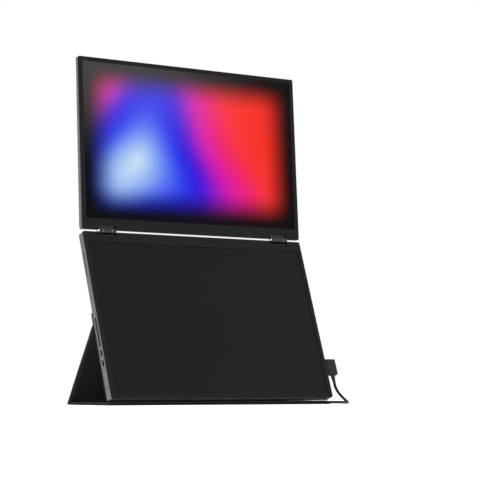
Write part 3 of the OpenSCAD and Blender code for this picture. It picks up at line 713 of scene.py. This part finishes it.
def drawn_skin(line, places, thickness, closed=False):
    """A sheet whose line of Y and Z is drawn along X through the places"""
    shape = bmesh.new()
    verts = [shape.verts.new((places[0], y, z)) for y, z in line]
    pairs = zip(verts, verts[1:] + verts[:1]) if closed else zip(verts, verts[1:])
    edges = [shape.edges.new(pair) for pair in pairs]
    for place, following in zip(places, places[1:]):
        made = bmesh.ops.extrude_edge_only(shape, edges=edges)["geom"]
        moved = set(verts_of(made))
        bmesh.ops.translate(shape, verts=list(moved), vec=(following - place, 0, 0))
        drawn = [item for item in made if isinstance(item, bmesh.types.BMEdge)]
        edges = [edge for edge in drawn if moved.issuperset(edge.verts)]
    bmesh.ops.recalc_face_normals(shape, faces=shape.faces)
    bmesh.ops.solidify(shape, geom=shape.faces[:], thickness=thickness)
    return shape


def bend(start, corner, end, shares):
    """Points of the soft bend from start to end that the corner pulls outwards"""
    return [start * (1 - t) ** 2 + corner * 2 * t * (1 - t) + end * t**2 for t in shares]


# ---- operators ----
class EXTENDER_OT_camera(bpy.types.Operator):
    """Sets the long lens low in front of the left corner"""

    bl_idname = "extender.camera"
    bl_label = "Camera"

    def execute(self, context):
        lens = bpy.data.cameras.new("Studio Lens")
        lens.lens = 137.4
        lens.sensor_width = 36
        lens.clip_start = 0.1
        lens.clip_end = 60
        camera = put("Studio Camera", lens)
        camera.location = (-1.3723, -2.12547, 0.02563)
        yaw, pitch, roll = (math.radians(value) for value in (34.028, 4.547, 0.002))
        turn = (
            Matrix.Rotation(-yaw, 4, "Z")
            @ Matrix.Rotation(math.pi / 2 + pitch, 4, "X")
            @ Matrix.Rotation(-roll, 4, "Z")
        )
        camera.rotation_euler = turn.to_euler()
        context.scene.camera = camera
        return {"FINISHED"}


# the cable's route, from its plug along the table to the coil
RUN = [
    (0.1914, -0.0466, 0.033), (0.1914, -0.0486, 0.0274), (0.1916, -0.0497, 0.0243),
    (0.1926, -0.051, 0.0208), (0.1942, -0.052, 0.0175), (0.1963, -0.0528, 0.0145),
    (0.1989, -0.0532, 0.0117), (0.2019, -0.0532, 0.0093), (0.2051, -0.0526, 0.0071),
    (0.2085, -0.0513, 0.0053), (0.212, -0.0493, 0.0039), (0.2155, -0.0465, 0.0029),
    (0.2188, -0.0427, 0.0022), (0.222, -0.038, 0.002), (0.228, -0.0235, 0.002),
    (0.23, -0.008, 0.002), (0.2306, 0.006, 0.002), (0.2316, 0.02, 0.002),
    (0.2327, 0.034, 0.002), (0.2338, 0.048, 0.002), (0.2349, 0.062, 0.002),
    (0.2359, 0.076, 0.002), (0.2367, 0.09, 0.002), (0.2373, 0.104, 0.002),
    (0.2377, 0.118, 0.0021), (0.238, 0.131, 0.0024), (0.238, 0.144, 0.0026),
]
# from the coil down to the straight plug
TAIL = [(0.186, 0.148, 0.0062), (0.1866, 0.140, 0.005), (0.1874, 0.132, 0.004), (0.188, 0.124, 0.0036)]
COIL_CENTRE = Vector((0.212, 0.156, 0.0026))


def crossed(degrees, *ends):
    """How many crossings are done, each over the 60 degrees before its end"""
    return sum(step_between(degrees, end - 60, end) for end in ends)


def coil_points():
    """Turns beside and on each other: inwards on the table, up, and outwards again"""
    size = cable_sizes()
    pitch, per_turn = size.diameter, 20
    outer = size.coil_diameter / 2 + pitch
    points = []
    for index in range(int(size.turns * per_turn) + 1):
        degrees = index * 360 / per_turn
        radius = outer - pitch * (crossed(degrees, 360, 720) - crossed(degrees, 1320, 1680))
        rise = pitch * crossed(degrees, 1020)
        turn = math.radians(degrees)
        points.append(COIL_CENTRE + Vector((radius * math.cos(turn), radius * math.sin(turn), rise)))
    return points


def line_length(curve):
    """The length of the curve's own line as Blender draws it"""
    bare = put("bare_line", curve.data.copy())
    bare.data.bevel_depth = 0
    evaluated = bare.evaluated_get(bpy.context.evaluated_depsgraph_get())
    mesh = evaluated.to_mesh()
    places = [vertex.co for vertex in mesh.vertices]
    total = sum((places[a] - places[b]).length for a, b in (e.vertices for e in mesh.edges))
    evaluated.to_mesh_clear()
    bpy.data.curves.remove(bare.data)
    return total


class EXTENDER_OT_cable(bpy.types.Operator):
    """Lays the cable along its route and winds its spare length into a coil"""

    bl_idname = "extender.cable"
    bl_label = "Cable"

    def execute(self, context):
        size = cable_sizes()
        points = [*RUN, *coil_points(), *TAIL]
        data = bpy.data.curves.new("cable_line", "CURVE")
        data.dimensions = "3D"
        data.resolution_u = 5
        data.bevel_depth = size.diameter / 2
        data.bevel_resolution = 4
        data.use_fill_caps = True
        spline = data.splines.new("BEZIER")
        spline.bezier_points.add(len(points) - 1)
        for point, place in zip(spline.bezier_points, points):
            point.co = place
            point.handle_left_type = point.handle_right_type = "AUTO"
        cable = put("cable_lead", data)
        data.materials.append(finish("Cable Jacket"))
        context.view_layer.update()
        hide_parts("cable_run", "cable_coil", "cable_tail")
        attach(cable, "lower_unit")
        line_length(cable)
        return {"FINISHED"}


def plug_grip(shape, width):
    """Sinks grooves, running along Z, into both broad faces of a moulded plug"""
    size = cable_sizes()
    pitch = width / size.plug_ribs
    bottom, lip, between = 0.0004, 0.0007, 0.0005  # half widths of a groove, low, high and between
    for index in range(size.plug_ribs + 1):
        for offset in (-lip, -bottom, bottom, lip):
            cut_across(shape, (index * pitch - width / 2 + offset, 0, 0), (1, 0, 0))
    for vertex in shape.verts:
        nearest = round((vertex.co.x + width / 2) / pitch)
        in_groove = abs(vertex.co.x + width / 2 - nearest * pitch) < between
        in_face = vertex.co.z > 0 and abs(vertex.co.x) < width / 2 + between
        if in_groove and in_face:
            vertex.co.y -= math.copysign(size.groove_depth, vertex.co.y)


def relief_sleeve(shape, height, low_wall, high_wall, rings):
    """Adds a tapered strain relief along Z with sunk rings, narrow end at Z = 0"""
    inner = cable_sizes().diameter / 2
    ring_depth, chamfer = 0.00025, 0.0004
    made = [shape.verts.new((0, 0, 0)), shape.verts.new((inner + low_wall, 0, 0))]
    for index in range(rings * 4 + 1):
        share = index / (rings * 4)
        radius = inner + low_wall + (high_wall - low_wall) * share
        sunk = ring_depth if index % 4 == 2 and 0.05 < share < 0.97 else 0
        made.append(shape.verts.new((radius - sunk, 0, chamfer + share * (height - chamfer))))
    made.append(shape.verts.new((0, 0, height)))
    edges = [shape.edges.new(pair) for pair in zip(made, made[1:])]
    bmesh.ops.spin(
        shape, geom=made + edges, cent=(0, 0, 0), axis=(0, 0, 1),
        angle=2 * math.pi, steps=24, use_merge=True,
    )


def plug_tip(name, place, plug):
    """The hollow steel tip of a plug, which starts just inside the plug's face and points up Z"""
    wide, thick, tall = 0.0083, 0.0024, 0.0066
    wall, depth, sunk = 0.00035, 0.0055, 0.0002
    shape = block(wide, thick, tall)
    round_edges(shape, edges_along(shape, 2), 0.00115, 4)
    mouth = [face for face in shape.faces if face.normal.z > 0.9]
    bmesh.ops.inset_region(shape, faces=mouth, thickness=wall)
    pushed = bmesh.ops.extrude_face_region(shape, geom=mouth)["geom"]
    bmesh.ops.delete(shape, geom=mouth, context="FACES_ONLY")
    bmesh.ops.translate(shape, verts=verts_of(pushed), vec=(0, 0, -depth))
    bmesh.ops.translate(shape, verts=shape.verts, vec=(0, 0, tall / 2 - sunk))
    tip = add_piece(name, shape, place, "lower_unit", "socket_steel", None, "Drawn Socket Steel")
    tip.parent = plug
    tip.matrix_parent_inverse = Matrix()


class EXTENDER_OT_plugs(bpy.types.Operator):
    """Models the angled plug with its ribs and relief, and the straight far plug"""

    bl_idname = "extender.plugs"
    bl_label = "Plugs"

    def execute(self, context):
        self.angled()
        self.angled_relief()
        self.straight()
        return {"FINISHED"}

    def angled(self):
        size = cable_sizes()
        reach, thick, tall = size.plug_reach, size.plug_thickness, size.plug_length
        body = block(reach, thick, tall)
        round_edges(body, edges_along(body, 1), 0.002, 5)
        round_edges(body, sharp_edges(body, 60), 0.0009)
        bmesh.ops.translate(body, verts=body.verts, vec=(0, 0, tall / 2))
        ribbed_share = 0.72
        plug_grip(body, reach * ribbed_share)
        place = lower_frame() @ at(PLUG_X + reach / 2, PORT_Y, PLUG_Z)
        plug = add_piece(
            "angled_plug", body, place, "lower_unit", "plug_plastic", "usb_plug", "Plug Plastic"
        )
        face = lower_frame() @ at(PLUG_X, PORT_Y, RIGHT_SOCKET_Z)
        plug_tip("angled_plug_tip", face @ Matrix.Rotation(-math.pi / 2, 4, "Y"), plug)

    def angled_relief(self):
        relief_length = cable_sizes().relief_length
        place = lower_frame() @ at(RUN[0][0], PORT_Y, PLUG_Z - relief_length)
        shape = bmesh.new()
        relief_sleeve(shape, relief_length, 0.0003, 0.0012, 5)
        add_piece(
            "angled_plug_relief", shape, place,
            "lower_unit", "cable_rubber", "plug_relief", "Plug Plastic",
        )

    def straight(self):
        size = cable_sizes()
        place = Matrix.Translation(TAIL[-1]) @ Matrix.Rotation(math.pi / 2, 4, "X")
        body = block(size.far_width, size.far_thickness, size.far_length)
        round_edges(body, edges_along(body, 2), 0.0026, 5)
        round_edges(body, sharp_edges(body, 60), 0.0007)
        middle = size.far_relief + size.far_length / 2
        bmesh.ops.translate(body, verts=body.verts, vec=(0, 0, middle))
        relief_sleeve(body, size.far_relief, 0.0004, 0.0009, 4)
        plug = add_piece(
            "straight_plug", body, place, "lower_unit", "plug_plastic", "far_plug", "Plug Plastic"
        )
        face = place @ at(0, 0, size.far_relief + size.far_length)
        plug_tip("straight_plug_tip", face, plug)


class EXTENDER_OT_tie(bpy.types.Operator):
    """Wraps a hook-and-loop tie round the coil"""

    bl_idname = "extender.tie"
    bl_label = "Tie"

    def execute(self, context):
        size = cable_sizes()
        half, tall = 1.5 * size.diameter, 2 * size.diameter
        corner, air = 0.0018, 0.00012
        radius = corner + air
        ring = []
        for quarter, (y, z) in enumerate([(-half, 0), (half, 0), (half, tall), (-half, tall)]):
            middle_y = y - math.copysign(corner, y)
            middle_z = tall - corner if z else corner
            for step in range(5):
                turn = math.radians(180 + 90 * quarter + 22.5 * step)
                ring.append((middle_y + radius * math.cos(turn), middle_z + radius * math.sin(turn)))
        places = [share * size.tie_width for share in (-0.5, -0.42, 0.42, 0.5)]
        shape = drawn_skin(ring, places, -size.tie_thickness, closed=True)
        below = Vector((0, size.coil_diameter / 2, -size.diameter / 2))
        place = Matrix.Translation(COIL_CENTRE + below)
        add_piece("coil_tie", shape, place, "lower_unit", "tie_fabric", "cable_tie", "Tie Tape")
        return {"FINISHED"}


class EXTENDER_OT_stand(bpy.types.Operator):
    """Wraps the stand's three boards in leather and joins them with soft folds"""

    bl_idname = "extender.stand"
    bl_label = "Stand"

    def execute(self, context):
        self.back_board()
        self.leg_board()
        self.base_board()
        self.top_fold()
        self.foot_fold()
        self.grip_strip()
        return {"FINISHED"}

    def board(self, name, shape, place, body, replaced):
        leather = ("Stand Leather", "Welded Margin", "Board Edge")
        add_piece(name, shape, place, body, "stand_leather", replaced, *leather)

    def back_board(self):
        size = sizes()
        fold = FOLD_Z - BACK_BOARD_Z
        shape = leather_board(size.case_width, size.back_height, size.back_thickness, 1, fold)
        place = lower_frame() @ at(0, size.back_thickness, BACK_BOARD_Z)
        self.board("stand_back_leather", shape, place, "lower_unit", "stand_back_cover")

    def leg_board(self):
        size = sizes()
        height = leg_length() - 2 * size.leg_gap
        shape = leather_board(size.case_width, height, size.leg_thickness, 2, 0)
        place = leg_frame() @ at(0, size.leg_thickness, size.leg_gap - leg_length())
        self.board("stand_leg_leather", shape, place, "stand_leg", "stand_leg_cover")

    def base_board(self):
        size = sizes()
        depth = FOOT.y - size.base_gap + size.base_front
        shape = leather_board(size.case_width, depth, size.base_thickness, 3)
        place = at(0, -size.base_front, size.base_thickness)
        lying = Matrix.Rotation(math.pi / 2, 4, "X") @ Matrix.Scale(-1, 4, (0, 0, 1))
        self.board("stand_base_leather", shape, place @ lying, "stand_base", "stand_base_cover")

    def fold(self, name, points, thickness, replaced):
        """A fold's leather through the points, which rides on no single body"""
        side_gap, columns = 0.0005, 40
        width = sizes().case_width - 2 * side_gap
        places = [width * (index / columns - 0.5) for index in range(columns + 1)]
        shape = drawn_skin([(point.y, point.z) for point in points], places, thickness)
        return add_piece(name, shape, Matrix(), None, "fold_leather", replaced, "Stand Leather")

    def top_fold(self):
        size = sizes()
        low, leg = lower_frame(), leg_frame()
        back, front = size.back_thickness + SKIN_GAP, size.leg_thickness + SKIN_GAP
        above, below, reach = 0.0035, 0.0032, size.fold_reach
        upper = [low @ Vector((0, back, FOLD_Z + z)) for z in (reach, 0.009, 0.006, above)]
        lower = [leg @ Vector((0, front, -z)) for z in (below, 0.006, 0.009, reach)]
        corner = low @ Vector((0, size.back_thickness + 0.0022, FOLD_Z + 0.0006))
        points = upper + bend(upper[-1], corner, lower[0], (0.25, 0.5, 0.75)) + lower
        piece = self.fold("stand_top_fold", points, 0.0004, "fold_skin_top")
        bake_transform(piece)

    def foot_fold(self):
        size = sizes()
        leg, foot = leg_frame(), leg_length()
        skin, start = size.leg_thickness + SKIN_GAP, 0.0036
        heights = (size.fold_reach, 0.009, 0.006, start)
        upper = [leg @ Vector((0, skin, z - foot)) for z in heights]
        lower = [Vector((0, FOOT.y - y, SKIN_GAP)) for y in (start, 0.006, 0.0084)]
        corner = Vector((0, FOOT.y - SKIN_GAP, SKIN_GAP))
        points = upper + bend(upper[-1], corner, lower[0], (0.2, 0.4, 0.6, 0.8)) + lower
        piece = self.fold("stand_foot_fold", points, 0.0005, "fold_skin_foot")
        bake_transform(piece)

    def grip_strip(self):
        size = sizes()
        half = (size.case_width - size.grip_ends) / 2
        steps = size.grip_ribs * 2
        shape = bmesh.new()
        line = []
        for index in range(steps + 1):
            z = size.grip_height * (1 if index % 2 else 0.55)
            line.append(shape.verts.new((-half, size.grip_width * index / steps, z)))
        line.append(shape.verts.new((-half, size.grip_width, 0)))
        line.append(shape.verts.new((-half, 0, 0)))
        end = shape.faces.new(line)
        made = bmesh.ops.extrude_face_region(shape, geom=[end])["geom"]
        bmesh.ops.translate(shape, verts=verts_of(made), vec=(2 * half, 0, 0))
        place = at(0, size.grip_inset - size.base_front, size.base_thickness)
        add_piece(
            "stand_grip_ribs", shape, place,
            "stand_base", "grip_rubber", "stand_grip_strip", "Grip Rubber",
        )


class EXTENDER_OT_finishes(bpy.types.Operator):
    """Gives every built solid its finish"""

    bl_idname = "extender.finishes"
    bl_label = "Finishes"

    def execute(self, context):
        for name, members in SOLID_FINISHES.items():
            for member in members:
                solid = frame["nodes"][member]
                solid.data.materials.clear()
                solid.data.materials.append(finish(name))
        return {"FINISHED"}


# name, place, aim, width in metres and power in watts of each soft lamp
LAMPS = (
    ("Key Panel", (-1.6, -1.2, 1.5), (0, 0, 0.2), 1.4, 9),
    ("Fill Panel", (1.5, -1.4, 0.9), (0, 0, 0.2), 1.6, 4),
    ("Back Panel", (0.4, 1.6, 1.4), (0, 0, 0.25), 1.2, 7),
    ("Low Panel", (-1.0, -0.45, 0.2), (-0.1, 0.04, 0.05), 0.6, 10),
)
SURROUND_LIGHT = 0.62  # of the white surround on the object, and of the seen floor's glow


def seen_directly(tree):
    """1 for what the camera sees, also in reflections and through glass"""
    rays = node(tree, "ShaderNodeLightPath").outputs
    return any_of(tree, rays["Is Camera Ray"], rays["Is Glossy Ray"], rays["Is Transmission Ray"])


class EXTENDER_OT_studio(bpy.types.Operator):
    """Lays a pale floor, a white surround and soft lamps"""

    bl_idname = "extender.studio"
    bl_label = "Studio"

    def execute(self, context):
        self.floor()
        self.surround(context)
        for lamp in LAMPS:
            self.lamp(*lamp)
        return {"FINISHED"}

    def floor(self):
        shape = bmesh.new()
        bmesh.ops.create_grid(shape, x_segments=2, y_segments=2, size=12)
        slab = put_shape("studio_floor", shape)
        slab.location.z = -0.0003
        material, tree, shader = blank_material(
            "Studio Floor", base_color=(*colours().floor, 1), roughness=0.9, specular_ior_level=0.1
        )
        dark = node(tree, "ShaderNodeEmission", strength=0.0)
        glow = node(tree, "ShaderNodeEmission", strength=SURROUND_LIGHT)
        pick = node(tree, "ShaderNodeMixShader")
        tree.links.new(seen_directly(tree), pick.inputs["Fac"])
        tree.links.new(dark.outputs["Emission"], pick.inputs[1])
        tree.links.new(glow.outputs["Emission"], pick.inputs[2])
        both = node(tree, "ShaderNodeAddShader")
        tree.links.new(shader.outputs["BSDF"], both.inputs[0])
        tree.links.new(pick.outputs["Shader"], both.inputs[1])
        tree.links.new(both.outputs["Shader"], tree.nodes["Material Output"].inputs["Surface"])
        slab.data.materials.append(material)

    def surround(self, context):
        world = bpy.data.worlds.new("Studio Surround")
        context.scene.world = world
        world.use_nodes = True
        tree = world.node_tree
        background = tree.nodes["Background"]
        background.inputs["Color"].default_value = (1, 1, 1, 1)
        strength = map_range(tree, seen_directly(tree), 0, 1, SURROUND_LIGHT, 1.0)
        tree.links.new(strength, background.inputs["Strength"])
        context.scene.view_settings.view_transform = "Standard"

    def lamp(self, name, place, aim, width, power):
        data = bpy.data.lights.new(name, "AREA")
        data.shape = "SQUARE"
        data.size = width
        data.energy = power
        lamp = put(name, data)
        lamp.location = place
        lamp.rotation_euler = (Vector(aim) - Vector(place)).to_track_quat("-Z", "Y").to_euler()


GROUPS = {
    "extender_sizes": ExtenderSizes,
    "extender_cable": ExtenderCable,
    "extender_colours": ExtenderColours,
}
OPERATORS = (
    EXTENDER_OT_camera,
    EXTENDER_OT_plugs,
    EXTENDER_OT_tie,
    EXTENDER_OT_cable,
    EXTENDER_OT_stand,
    EXTENDER_OT_finishes,
    EXTENDER_OT_studio,
)


class EXTENDER_PT_sidebar(bpy.types.Panel):
    """Lists the sizes, the colours and the building steps"""

    bl_label = "Screen Extender"
    bl_idname = "EXTENDER_PT_sidebar"
    bl_space_type = "VIEW_3D"
    bl_region_type = "UI"
    bl_category = "Extender"

    def draw(self, context):
        layout = self.layout
        for group in GROUPS:
            values = getattr(context.scene, group)
            box = layout.box()
            for key in values.__annotations__:
                box.prop(values, key)
        for operator in OPERATORS:
            layout.operator(operator.bl_idname)


CLASSES = (*GROUPS.values(), *OPERATORS, EXTENDER_PT_sidebar)


def register():
    for cls in CLASSES:
        bpy.utils.register_class(cls)
    for name, group in GROUPS.items():
        setattr(bpy.types.Scene, name, PointerProperty(type=group))


def unregister():
    for name in GROUPS:
        delattr(bpy.types.Scene, name)
    for cls in reversed(CLASSES):
        bpy.utils.unregister_class(cls)


def main():
    register()
    bpy.ops.extender.camera()
    bpy.ops.extender.plugs()
    bpy.ops.extender.tie()
    bpy.ops.extender.cable()
    bpy.ops.extender.stand()
    bpy.ops.extender.finishes()
    bpy.ops.extender.studio()


if __name__ == "__main__":
    main()
